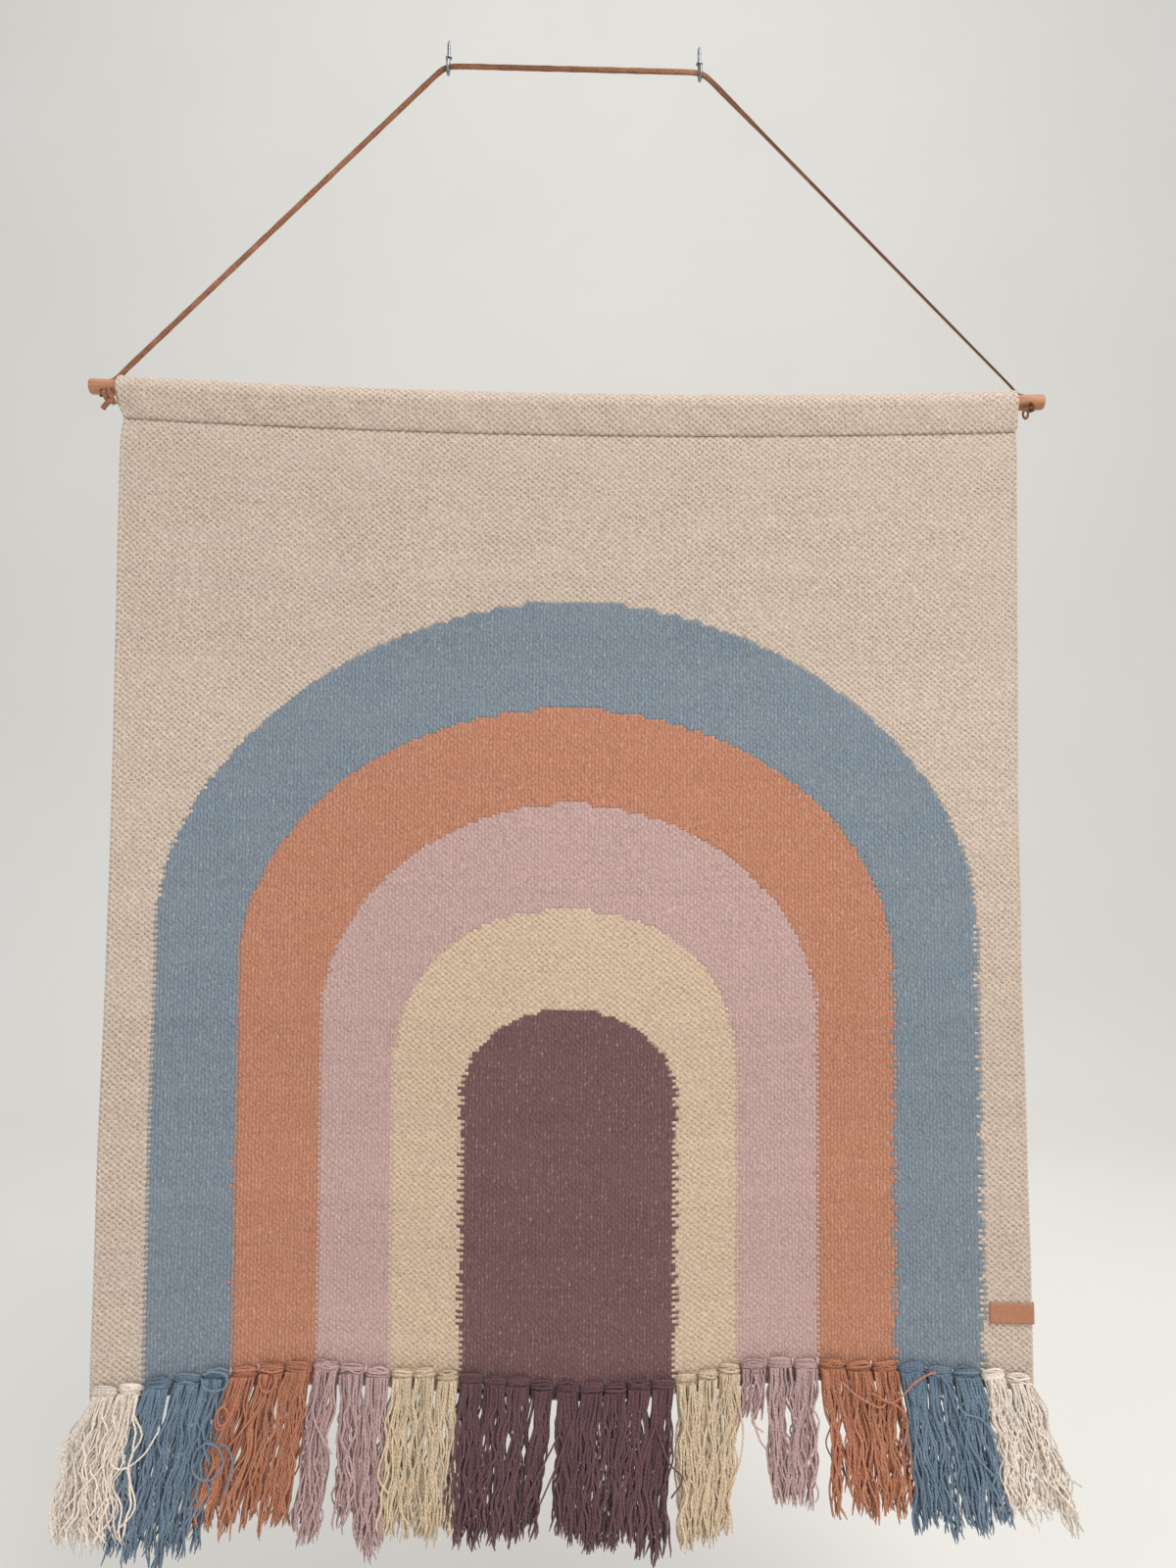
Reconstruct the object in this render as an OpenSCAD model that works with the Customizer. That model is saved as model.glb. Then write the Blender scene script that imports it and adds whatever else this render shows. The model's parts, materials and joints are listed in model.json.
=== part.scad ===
// Hand-woven wool wall hanging with a rainbow of nested arches.
// A leather lace over two screw hooks carries an oak rod, which runs through a sleeve
// sewn along the top of the cloth. Wool tassels are tied through the cloth above its hem.
// Frame: +Z up, +X to the viewer's right, the woven front faces -Y. The origin lies midway
// between the two hook shanks, on the underside of the moulding that they are screwed into.

/* [Cloth] */
// Width of the woven cloth, edge to edge
cloth_w = 698; // [680:1:720]
// Height of the woven cloth from the top of the rod sleeve to the hem
cloth_h = 766; // [730:1:800]
// Thickness of the woven wool
cloth_t = 3.2; // [2.4:0.1:4]
// Depth of the rod sleeve, from its top to its seam
sleeve_h = 33; // [28:0.5:40]
// Play between the rod and the inside of its sleeve
sleeve_play = 0.08; // [0.03:0.01:0.1]

/* [Arches] */
// Half width of the blue arch over its legs
blue_half_w = 312; // [300:1:325]
// Half width of the terracotta arch
terracotta_half_w = 250; // [240:1:260]
// Half width of the pink arch
pink_half_w = 190; // [180:1:200]
// Half width of the yellow arch
yellow_half_w = 131; // [120:1:140]
// Half width of the plum doorway
plum_half_w = 81; // [70:1:90]
// Top of the blue arch below the top of the cloth
blue_top = 163; // [150:1:180]
// Top of the terracotta arch below the top of the cloth
terracotta_top = 246; // [230:1:260]
// Top of the pink arch below the top of the cloth
pink_top = 319; // [305:1:335]
// Top of the yellow arch below the top of the cloth
yellow_top = 400; // [385:1:415]
// Top of the plum doorway below the top of the cloth
plum_top = 474; // [460:1:490]

/* [Fringe] */
// Length of a tassel below its knot
tassel_len = 113; // [90:1:130]
// Height of the row of knots above the hem
knot_rise = 12; // [8:0.5:16]
// Radius of a knot
knot_r = 3.4; // [2.6:0.1:4]
// Space between neighbouring tassels
tassel_gap = 1.2; // [0.8:0.1:2]

/* [Rod and lace] */
// Diameter of the oak rod
rod_d = 12; // [11:0.5:13]
// Length of the oak rod
rod_len = 741; // [735:1:760]
// Diameter of the holes that the lace goes through
lace_hole_d = 5.2; // [4.6:0.1:6]
// Slope of those holes, down towards the front
lace_hole_tilt = 58; // [54:1:62]
// Width of the flat leather lace
lace_w = 4; // [3:0.1:4.2]
// Thickness of the lace
lace_t = 1.8; // [1.2:0.1:2]

/* [Hooks] */
// Distance between the two hooks
hook_spacing = 198; // [198:1:198]
// Diameter of the hook wire
wire_d = 2.6; // [2.2:0.1:2.8]
// Length of the threaded shank above the moulding's underside
shank_len = 14; // [10:1:20]

/* [Label] */
// Length of the leather label along the cloth
label_w = 33; // [25:1:40]
// Height of the label
label_h = 15; // [12:1:20]
// Height of the label's lower edge above the hem
label_rise = 50; // [40:1:80]
// Thickness of the label leather
label_t = 1; // [0.8:0.1:1.4]

/* [Hidden] */
$fn = 64;
arch_steps = 28; // straight edges in half an arch

// Heights, measured along Z from the underside of the moulding
rod_z = -270;
rod_r = rod_d / 2;
sleeve_in_r = rod_r + sleeve_play;
sleeve_out_r = sleeve_in_r + cloth_t;
top_z = rod_z + sleeve_out_r;
seam_z = top_z - sleeve_h;
hem_z = top_z - cloth_h;
knot_z = hem_z + knot_rise;
half_t = cloth_t / 2;
half_w = cloth_w / 2;

// Hook: the bend hangs in front of the shank, and everything hangs in the bend's plane
wire_r = wire_d / 2;
bend_r = 4.5;
bend_z = -11.3;
hook_tip_z = -8;
hang_y = -bend_r;
collar_r = 2.6;
collar_h = 0.8;
point_h = 3;

// Arches from the outside in: half width, top below the cloth's top, height where the leg
// turns straight, and the power of the curve (2 is an ellipse)
ARCHES = [
    [blue_half_w, blue_top, 412, 1.87],
    [terracotta_half_w, terracotta_top, 449, 1.93],
    [pink_half_w, pink_top, 484, 1.9],
    [yellow_half_w, yellow_top, 532, 2.2],
    [plum_half_w, plum_top, 540, 1.87],
];
BLUE = 0;
TERRACOTTA = 1;
PINK = 2;
YELLOW = 3;
PLUM = 4;

CREAM_C = "#cdb9a6";
BLUE_C = "#84929e";
TERRACOTTA_C = "#b9805f";
PINK_C = "#bb9c99";
YELLOW_C = "#cbb594";
PLUM_C = "#725252";
COTTON_C = "#e2d8c8";
LEATHER_C = "#a5683f";
OAK_C = "#b98a5c";
STEEL_C = "#a9abae";

// Bands of the fringe from left to right: name, left edge, right edge, tassels, colour
BANDS = [
    ["cream_left", -half_w, -blue_half_w, 2, CREAM_C],
    ["blue_left", -blue_half_w, -terracotta_half_w, 3, BLUE_C],
    ["terracotta_left", -terracotta_half_w, -pink_half_w, 3, TERRACOTTA_C],
    ["pink_left", -pink_half_w, -yellow_half_w, 3, PINK_C],
    ["yellow_left", -yellow_half_w, -plum_half_w, 3, YELLOW_C],
    ["plum", -plum_half_w, plum_half_w, 9, PLUM_C],
    ["yellow_right", plum_half_w, yellow_half_w, 3, YELLOW_C],
    ["pink_right", yellow_half_w, pink_half_w, 3, PINK_C],
    ["terracotta_right", pink_half_w, terracotta_half_w, 3, TERRACOTTA_C],
    ["blue_right", terracotta_half_w, blue_half_w, 3, BLUE_C],
    ["cream_right", blue_half_w, half_w, 2, CREAM_C],
];
function tassel_name(band, i) = str("tassel_", band[0], "_", i + 1);

// The lace's route from the middle of the top span to its right-hand end, in the hanging
// plane: along to the hook, down behind the sleeve's corner and through the rod's hole.
lace_x = 359;
HALF_ROUTE = [
    [0, 0, -10],
    [45, 0, -10],
    [84, 0, -10],
    [94, 0, -10.3],
    [99, 0, -11],
    [104, 0, -13.6],
    [110, 0, -19],
    [122, 0.2, -31],
    [180, 1.4, -89],
    [240, 2.5, -149],
    [300, 3.6, -209],
    [336, 4.2, -245],
    [346, 4.5, -255],
    [350, 5.4, -259],
    [354, 6, -262],
    [357.4, 5, -264],
    [359, 3.4, -265.4],
    [359, 0, -270],
    [359, -4, -276.4],
    [359, -5.6, -279],
];
route_n = len(HALF_ROUTE);
LACE_ROUTE = concat(
    [for (i = [route_n - 1:-1:1]) [-HALF_ROUTE[i][0], HALF_ROUTE[i][1], HALF_ROUTE[i][2]]],
    HALF_ROUTE
);
lace_sides = 8;
knot_len = 13;
lace_knot_r = 4;
lace_knot_y = -4.6;
lace_knot_z = -277;
lace_knot_tilt = 28;

// ---- shared shapes ----

// Point of a superellipse quarter, from its foot at 0 degrees to its top at 90
function super_point(a, b, power, angle) =
    [a * pow(cos(angle), 2 / power), b * pow(sin(angle), 2 / power)];

// Outline of an arch: straight legs down to the hem under a superellipse
module arch_outline(i) {
    a = ARCHES[i][0];
    top = top_z - ARCHES[i][1];
    spring = top_z - ARCHES[i][2];
    power = ARCHES[i][3];
    right = [for (s = [0:arch_steps]) super_point(a, top - spring, power, 90 * s / arch_steps)];
    polygon(concat(
        [[a, hem_z + cloth_t]],
        [for (p = right) [p[0], spring + p[1]]],
        [for (s = [arch_steps - 1:-1:0]) [-right[s][0], spring + right[s][1]]],
        [[-a, hem_z + cloth_t]]
    ));
}

// A flat outline drawn in X and Z, as thick as the cloth
module woven() {
    translate([0, half_t, 0]) rotate([90, 0, 0]) linear_extrude(cloth_t) children();
}

// One arch with the next one inside it cut out
module arch(i) {
    woven() difference() {
        arch_outline(i);
        if (i < PLUM) arch_outline(i + 1);
    }
}

// Moves a shape from the rod's frame, hanging at y = 0, to the plane below the hooks
module hung() {
    translate([0, hang_y, 0]) children();
}

// A rounded bar: a cylinder with ball ends, standing on the origin
module capsule(r, len) {
    translate([0, 0, r]) sphere(r);
    translate([0, 0, r]) cylinder(r = r, h = len - 2 * r);
    translate([0, 0, len - r]) sphere(r);
}

// ---- hooks, lace and rod ----

// A screw hook: pointed shank, collar, and a bend that rises to a round tip in front
module hook(x) {
    color(STEEL_C) translate([x, 0, 0]) {
        translate([0, 0, shank_len - point_h]) cylinder(r1 = wire_r, r2 = 0.3, h = point_h);
        translate([0, 0, bend_z]) cylinder(r = wire_r, h = shank_len - point_h - bend_z);
        translate([0, 0, -collar_h]) cylinder(r = collar_r, h = collar_h);
        translate([0, hang_y, bend_z]) rotate([0, 90, 0]) rotate([0, 0, -90])
            rotate_extrude(angle = 180) translate([bend_r, 0]) circle(wire_r);
        translate([0, 2 * hang_y, bend_z]) cylinder(r = wire_r, h = hook_tip_z - bend_z);
        translate([0, 2 * hang_y, hook_tip_z]) sphere(wire_r);
    }
}

module hook_left() { hook(-hook_spacing / 2); }

module hook_right() { hook(hook_spacing / 2); }

function unit(v) = v / norm(v);
function heading(i) =
    unit(LACE_ROUTE[min(i + 1, len(LACE_ROUTE) - 1)] - LACE_ROUTE[max(i - 1, 0)]);
// Across the lace's width, in the plane of the hanging
function across(i) = unit(cross([0, 1, 0], heading(i)));
function lace_ring(i) = [
    for (k = [0:lace_sides - 1])
        LACE_ROUTE[i]
        + across(i) * lace_w / 2 * cos((k + 0.5) * 360 / lace_sides)
        + cross(heading(i), across(i)) * lace_t / 2 * sin((k + 0.5) * 360 / lace_sides)
];
function ring_at(i, k) = i * lace_sides + k % lace_sides;

module leather_lace() {
    last = len(LACE_ROUTE) - 1;
    color(LEATHER_C) hung() polyhedron(
        points = [for (i = [0:last]) each lace_ring(i)],
        faces = concat(
            [[for (k = [0:lace_sides - 1]) k]],
            [[for (k = [lace_sides - 1:-1:0]) ring_at(last, k)]],
            [for (i = [0:last - 1]) for (k = [0:lace_sides - 1])
                [ring_at(i, k), ring_at(i + 1, k), ring_at(i + 1, k + 1)]],
            [for (i = [0:last - 1]) for (k = [0:lace_sides - 1])
                [ring_at(i, k), ring_at(i + 1, k + 1), ring_at(i, k + 1)]]
        )
    );
}

// The stopper knot that hangs out of the front of a lace hole
module lace_knot(x) {
    color(LEATHER_C) hung() translate([x, lace_knot_y, lace_knot_z])
        rotate([180 - lace_knot_tilt, 0, 0]) capsule(lace_knot_r, knot_len);
}

module lace_knot_left() { lace_knot(-lace_x); }

module lace_knot_right() { lace_knot(lace_x); }

module oak_rod() {
    round_r = 2;
    color(OAK_C) hung() difference() {
        translate([-rod_len / 2, 0, rod_z]) rotate([0, 90, 0]) rotate_extrude() {
            square([rod_r - round_r, rod_len]);
            translate([0, round_r]) square([rod_r, rod_len - 2 * round_r]);
            translate([rod_r - round_r, round_r]) circle(round_r);
            translate([rod_r - round_r, rod_len - round_r]) circle(round_r);
        }
        for (x = [-lace_x, lace_x]) translate([x, 0, rod_z]) rotate([lace_hole_tilt - 90, 0, 0])
            cylinder(d = lace_hole_d, h = 3 * rod_d, center = true);
    }
}

// ---- woven cloth ----

// A bar along X, round at the top and drawn in below to half_neck: a cylinder on a wedge
module teardrop_bar(r, half_neck, depth, len) {
    half_wedge = 0.9 * r;
    rotate([90, 0, 90]) translate([0, 0, -len / 2]) {
        cylinder(r = r, h = len);
        linear_extrude(len) polygon([
            [half_wedge, 0],
            [half_neck, -depth],
            [-half_neck, -depth],
            [-half_wedge, 0],
        ]);
    }
}

module rod_sleeve() {
    seam_depth = rod_z - seam_z;
    seam_allowance = 6;
    color(CREAM_C) hung() translate([0, 0, rod_z]) difference() {
        teardrop_bar(sleeve_out_r, cloth_t, seam_depth, cloth_w);
        teardrop_bar(sleeve_in_r, 0.2, seam_depth - seam_allowance, cloth_w + 2);
    }
}

// Sewing thread in the crease between the sleeve and the cloth below it
module seam_thread() {
    thread_r = 0.6;
    color(COTTON_C) hung() translate([-half_w + 1, -half_t - thread_r, seam_z - thread_r])
        rotate([0, 90, 0]) cylinder(r = thread_r, h = cloth_w - 2);
}

module cream_ground() {
    color(CREAM_C) hung() woven() difference() {
        translate([-half_w + half_t, hem_z + cloth_t])
            square([cloth_w - cloth_t, seam_z - hem_z - cloth_t]);
        arch_outline(BLUE);
    }
}

module blue_arch() { color(BLUE_C) hung() arch(BLUE); }

module terracotta_arch() { color(TERRACOTTA_C) hung() arch(TERRACOTTA); }

module pink_arch() { color(PINK_C) hung() arch(PINK); }

module yellow_arch() { color(YELLOW_C) hung() arch(YELLOW); }

module plum_doorway() { color(PLUM_C) hung() arch(PLUM); }

// Section of an edge cord: flat against the cloth on one side and round on the other
module edge_section() {
    intersection() {
        circle(half_t);
        translate([0, -half_t]) square(cloth_t);
    }
}

// The outermost warps, wrapped over by the turning weft
module selvedge(side) {
    color(CREAM_C) hung() translate([side * (half_w - half_t), 0, hem_z + cloth_t])
        rotate([0, 0, side > 0 ? 0 : 180])
            linear_extrude(seam_z - hem_z - cloth_t) edge_section();
}

module selvedge_left() { selvedge(-1); }

module selvedge_right() { selvedge(1); }

// The row of twined warp ends that locks the last weft
module hem_cord() {
    color(COTTON_C) hung() translate([-half_w + half_t, 0, 0]) rotate([90, 0, 90])
        linear_extrude(cloth_w - cloth_t) {
            translate([-half_t, hem_z + half_t]) square([cloth_t, half_t]);
            translate([0, hem_z + half_t]) circle(half_t);
        }
}

// Blank leather tab folded round the right-hand edge
module leather_label() {
    inner = cloth_t;
    outer = cloth_t + 2 * label_t;
    color(LEATHER_C) hung() translate([half_w + label_t - label_w, -outer / 2, hem_z + label_rise])
        difference() {
            cube([label_w, outer, label_h]);
            translate([-1, label_t, -1]) cube([label_w + 1 - label_t, inner, label_h + 2]);
        }
}

// ---- fringe ----

// A bundle of wool looped through the cloth: a knot bar with the strands hanging under it
module tassel(band, i) {
    pitch = (band[2] - band[1]) / band[3];
    w = pitch - tassel_gap;
    knot_w = w - 2;
    tip_r = 3;
    color(band[4]) hung() translate([band[1] + (i + 0.5) * pitch, -half_t - 0.3 - knot_r, knot_z]) {
        translate([-knot_w / 2, 0, 0]) rotate([0, 90, 0]) capsule(knot_r, knot_w);
        translate([0, knot_r, 0]) rotate([90, 0, 0]) linear_extrude(2 * knot_r) {
            translate([-w / 2, tip_r - tassel_len]) square([w, tassel_len - tip_r - 2]);
            translate([tip_r - w / 2, -tassel_len]) square([w - 2 * tip_r, tip_r]);
            for (side = [-1, 1]) translate([side * (w / 2 - tip_r), tip_r - tassel_len])
                circle(tip_r);
        }
    }
}

hook_left();
hook_right();
leather_lace();
lace_knot_left();
lace_knot_right();
oak_rod();
rod_sleeve();
seam_thread();
cream_ground();
blue_arch();
terracotta_arch();
pink_arch();
yellow_arch();
plum_doorway();
selvedge_left();
selvedge_right();
hem_cord();
leather_label();
for (band = BANDS) for (i = [0:band[3] - 1])
    tassel(band, i);
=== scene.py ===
"""Hand-woven wool wall hanging: nested arches on an oak rod, hung from a leather lace.

Metres, +Z up, the woven front faces -Y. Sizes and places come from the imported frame.
"""

import json
import math

import bpy
import numpy as np
from mathutils import Matrix, Vector

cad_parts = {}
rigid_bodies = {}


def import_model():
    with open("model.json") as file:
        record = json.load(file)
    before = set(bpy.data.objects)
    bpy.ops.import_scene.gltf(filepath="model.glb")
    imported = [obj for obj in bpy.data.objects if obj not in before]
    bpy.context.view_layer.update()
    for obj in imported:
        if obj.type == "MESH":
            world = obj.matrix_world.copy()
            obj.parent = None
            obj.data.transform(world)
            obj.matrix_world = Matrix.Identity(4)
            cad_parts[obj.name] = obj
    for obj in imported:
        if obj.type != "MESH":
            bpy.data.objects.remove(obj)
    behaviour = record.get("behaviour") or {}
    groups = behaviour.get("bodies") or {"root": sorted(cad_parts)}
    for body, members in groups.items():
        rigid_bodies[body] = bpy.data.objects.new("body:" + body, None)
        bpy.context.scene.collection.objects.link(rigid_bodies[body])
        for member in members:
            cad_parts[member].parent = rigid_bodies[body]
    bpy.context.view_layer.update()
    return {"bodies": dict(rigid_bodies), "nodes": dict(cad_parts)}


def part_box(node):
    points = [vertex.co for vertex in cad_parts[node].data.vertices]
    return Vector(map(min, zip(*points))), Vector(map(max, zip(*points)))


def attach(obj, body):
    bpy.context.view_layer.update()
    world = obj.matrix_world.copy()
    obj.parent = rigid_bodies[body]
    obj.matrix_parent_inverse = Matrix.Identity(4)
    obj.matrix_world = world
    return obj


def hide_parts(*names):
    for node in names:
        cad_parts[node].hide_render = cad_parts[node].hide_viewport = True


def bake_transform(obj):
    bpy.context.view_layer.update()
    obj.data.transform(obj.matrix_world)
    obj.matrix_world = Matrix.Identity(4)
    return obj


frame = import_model()

MM = 0.001
rng = np.random.default_rng(7)

# ---- places from the frame


def corners(node):
    lo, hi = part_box(node)
    return np.array(lo), np.array(hi)


rod_lo, rod_hi = corners("oak_rod")
sleeve_lo, sleeve_hi = corners("rod_sleeve")
hem_lo, _ = corners("hem_cord")
cream_lo, cream_hi = corners("cream_ground")
label_lo, label_hi = corners("leather_label")

HANG_Y = (rod_lo[1] + rod_hi[1]) / 2
ROD_Z = (rod_lo[2] + rod_hi[2]) / 2
ROD_R = (rod_hi[2] - rod_lo[2]) / 2
ROD_HALF = rod_hi[0]
HALF_W = sleeve_hi[0]
TOP_Z = sleeve_hi[2]
SLEEVE_H = TOP_Z - sleeve_lo[2]
CLOTH_H = TOP_Z - hem_lo[2]
HALF_T = (cream_hi[1] - cream_lo[1]) / 2
KNOT_V = CLOTH_H - 12 * MM
LACE_X = 0.359

# ---- how the cloth hangs

ROD_BOW = 8.4 * MM
WAVE = 3.2 * MM
WAVE_PITCH = 0.39

# Inward draw of the two side edges, by the distance below the top of the cloth
DRAW_V = np.array([0, 10, 22, 31, 36, 48, 70, 150, 310, 458, 605, 735, 766]) * MM
DRAW_LEFT = np.array([1.5, 0.5, 0.8, 4.8, 5, 3.5, 3, 2.8, 3.4, 3, 0.2, -1, -1]) * MM
DRAW_RIGHT = np.array([2.5, 1.2, 1.2, 0.8, 1.2, 0.8, 0.7, 1.3, 3, 2.4, -0.6, -3, -3]) * MM

# Height of the hem above its straight place, across the cloth
HEM_X = np.array([-349, -250, -160, -80, 0, 50, 120, 200, 270, 349]) * MM
HEM_RISE = np.array([-5, 1.5, 3, -3, -8.5, -8.5, -1, 3, 0, -3]) * MM
# The same for the row of knots, which wanders by a few rows of weaving
KNOT_X = np.array([-342, -315, -264, -246, -188, -159, -137, -101, -72, -36, 0, 45, 82, 119,
                   156, 200, 248, 275, 312, 346]) * MM
KNOT_RISE = np.array([-7.6, -5, 0.9, 1.5, 6.4, 2.8, -0.9, 0.9, -3.7, -5.4, -9.3, -10.5, -7.2,
                      1.1, 5.2, 3.3, 1.4, -1, -2.1, -4.5]) * MM


def smooth(t):
    t = np.clip(t, 0, 1)
    return t * t * (3 - 2 * t)


def eased(x, xs, ys, width=0.03):
    """Linear interpolation with its corners rounded over width."""
    steps = np.linspace(-1, 1, 9)
    return sum(np.interp(np.asarray(x)[..., None] + steps * width, xs, ys).T).T / len(steps)


def bow(u):
    return -ROD_BOW * (1 - (np.asarray(u) / LACE_X) ** 2)


RIPPLES = [
    (rng.uniform(0.07, 0.17), rng.uniform(-1, 1), rng.uniform(0, math.tau)) for _ in range(7)
]


def ripple(u, v):
    total = 0
    for pitch, slant, phase in RIPPLES:
        total = total + np.sin(math.tau * (u + slant * v) / pitch + phase)
    return total / len(RIPPLES)


def drape(u, v):
    """How far the cloth stands behind its flat plane."""
    fall = smooth((v - SLEEVE_H) / 0.55)
    y = -WAVE * np.cos(math.tau * u / WAVE_PITCH) * fall
    y = y - 5.5 * MM * np.exp(-(((u + HALF_W) / 0.075) ** 2)) * fall**2
    y = y - 2.5 * MM * np.exp(-(((u - HALF_W) / 0.06) ** 2)) * fall**2
    y = y + 1.0 * MM * ripple(u, v) * smooth((v - SLEEVE_H) / 0.12)
    below = np.clip((v - SLEEVE_H) / 0.02, 0, 4)
    return y - 0.7 * MM * below * np.exp(1 - below) * (v > SLEEVE_H)


def drawn(u, v):
    """Where the thread at u lies across the cloth, with the side edges drawn in."""
    s = u / HALF_W
    left, right = (np.interp(v, DRAW_V, draw) for draw in (DRAW_LEFT, DRAW_RIGHT))
    return u + np.where(s < 0, left, -right) * np.abs(s) ** 6


def sagged(z, u, v):
    """Height z with the rod's bow, which gives way to the hem's own line further down."""
    down = (np.clip(v, 0, None) / CLOTH_H) ** 1.5
    return z + bow(u) * (1 - down) + eased(u, HEM_X, HEM_RISE) * down


def cloth_point(u, v, w):
    """Point of the hanging cloth: u across, v down from its top, w out of its front."""
    u, v, w = np.broadcast_arrays(u, v, w)
    return np.stack([drawn(u, v), HANG_Y + drape(u, v) - w, sagged(TOP_Z - v, u, v)], -1)


# ---- meshes


def make_mesh(name, verts, faces, flat=(), uvs=None, weave=None):
    """faces and flat are lists of index arrays; the flat ones are shaded flat."""
    sets = [np.asarray(f, np.int32) for f in [*faces, *flat] if len(f)]
    sizes = np.concatenate([np.full(len(f), f.shape[1], np.int32) for f in sets])
    loops = np.concatenate([f.ravel() for f in sets])
    me = bpy.data.meshes.new(name)
    me.vertices.add(len(verts))
    me.vertices.foreach_set("co", np.asarray(verts, np.float32).ravel())
    me.loops.add(len(loops))
    me.loops.foreach_set("vertex_index", loops)
    me.polygons.add(len(sizes))
    starts = np.concatenate([[0], np.cumsum(sizes)[:-1]]).astype(np.int32)
    me.polygons.foreach_set("loop_start", starts)
    is_smooth = np.ones(len(sizes), bool)
    flat_count = sum(len(f) for f in flat)
    if flat_count:
        is_smooth[-flat_count:] = False
    me.update(calc_edges=True)
    me.polygons.foreach_set("use_smooth", is_smooth)
    if uvs is not None:
        layer = me.uv_layers.new(name="yarn")
        layer.data.foreach_set("uv", np.asarray(uvs, np.float32).ravel())
    if weave is not None:
        layer = me.attributes.new("weave", "FLOAT_COLOR", "POINT")
        layer.data.foreach_set("color", np.asarray(weave, np.float32).ravel())
    return me


def piece(name, me, materials, body, nodes=()):
    ob = bpy.data.objects.new(name, me)
    bpy.context.scene.collection.objects.link(ob)
    for mat in materials if isinstance(materials, (list, tuple)) else [materials]:
        me.materials.append(mat)
    if body:
        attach(ob, body)
    if nodes:
        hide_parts(*nodes)
    return ob


def unit(a):
    return a / np.maximum(np.linalg.norm(a, axis=-1, keepdims=True), 1e-12)


def lengths(line):
    """Distance of each point from its line's start, along the line."""
    steps = np.cumsum(np.linalg.norm(np.diff(line, axis=-2), axis=-1), -1)
    return np.concatenate([0 * steps[..., :1], steps], -1)


def across_line(line, hint):
    """The two directions square to the line, the first as near to hint as it can be."""
    ahead = unit(np.gradient(line, axis=-2))
    hint = np.broadcast_to(np.asarray(hint, float), line.shape)
    first = unit(hint - (hint * ahead).sum(-1, keepdims=True) * ahead)
    return first, np.cross(ahead, first)


def around(grid):
    """The corners of every cell: top left, top right, bottom left, bottom right."""
    return grid[:-1, :-1], grid[1:, :-1], grid[:-1, 1:], grid[1:, 1:]


PLY_PITCH = 3.2 * MM


def ring_faces(rings, sides):
    """Quads and two end caps of one closed tube, ring by ring."""
    i, k = np.meshgrid(np.arange(rings - 1), np.arange(sides), indexing="ij")
    low, high, k2 = i * sides, (i + 1) * sides, (k + 1) % sides
    quads = np.stack([low + k, low + k2, high + k2, high + k], -1).reshape(-1, 4)
    first, last = np.arange(sides)[None, ::-1], ((rings - 1) * sides + np.arange(sides))[None]
    return quads, [first, last]


def tube_set(paths, radii, sides, tones, side_hint=(0, 1, 0)):
    """Closed round tubes along paths (n, rings, 3); radii (n, rings); tones (n,) from 0 to 1."""
    n, rings, _ = paths.shape
    n1, n2 = across_line(paths, side_hint)
    a = math.tau * np.arange(sides) / sides
    ring = np.cos(a)[:, None] * n1[:, :, None] + np.sin(a)[:, None] * n2[:, :, None]
    verts = (paths[:, :, None] + ring * radii[:, :, None, None]).reshape(-1, 3)
    i, r, k = np.meshgrid(np.arange(n), np.arange(rings - 1), np.arange(sides), indexing="ij")
    base = (i * rings + r) * sides
    k2 = (k + 1) % sides
    quads = np.stack([base + k, base + k2, base + sides + k2, base + sides + k], -1).reshape(-1, 4)
    # each yarn's plies start at a turn of their own, so that neighbours don't line up
    along = lengths(paths) / PLY_PITCH + 37 * np.asarray(tones)[:, None]
    low, high, here, there = along[i, r], along[i, r + 1], k / sides, (k + 1) / sides
    uv = np.stack([here, low, there, low, there, high, here, high], -1).reshape(-1, 2)
    first = np.arange(n)[:, None] * rings * sides
    cap_low = (first + np.arange(sides - 1, -1, -1)).reshape(n, sides)
    cap_high = (first + (rings - 1) * sides + np.arange(sides)).reshape(n, sides)
    cap_uv = np.zeros((2 * n * sides, 2))
    tone = np.repeat(tones, rings * sides)
    t = np.tile(np.repeat(np.linspace(0, 1, rings), sides), n)
    weave = np.stack([np.full_like(tone, 0.8), tone, t, np.zeros_like(tone)], -1)
    return verts, [quads, cap_low, cap_high], np.concatenate([uv, cap_uv]), weave


def joined(parts):
    """Several tube sets as one."""
    verts, quads, caps, uv_quads, weave = [], [], {}, [], []
    offset = 0
    for v, (q, low, high), uv, wv in parts:
        verts.append(v)
        quads.append(q + offset)
        for cap in (low, high):
            caps.setdefault(cap.shape[1], []).append(cap + offset)
        uv_quads.append(uv[: 4 * len(q)])
        weave.append(wv)
        offset += len(v)
    cap_sets = [np.concatenate(c) for c in caps.values()]
    zeros = np.zeros((sum(c.size for c in cap_sets), 2))
    return (
        np.concatenate(verts),
        [np.concatenate(quads), *cap_sets],
        np.concatenate([*uv_quads, zeros]),
        np.concatenate(weave),
    )


def spline(points, count):
    """Catmull-Rom curve through the points, evenly spaced."""
    p = np.asarray(points, float)
    p = np.concatenate([[2 * p[0] - p[1]], p, [2 * p[-1] - p[-2]]])
    out = []
    for i in range(1, len(p) - 2):
        t = np.linspace(0, 1, 24, endpoint=False)[:, None]
        a, b, c, d = p[i - 1 : i + 3]
        square, cube = 2 * a - 5 * b + 4 * c - d, 3 * b - a - 3 * c + d
        out.append(0.5 * (2 * b + (c - a) * t + square * t**2 + cube * t**3))
    line = np.concatenate([*out, [p[-2]]])
    along = lengths(line)
    at = np.linspace(0, along[-1], count)
    return np.stack([np.interp(at, along, line[:, k]) for k in range(3)], 1)


# ---- materials


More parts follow.
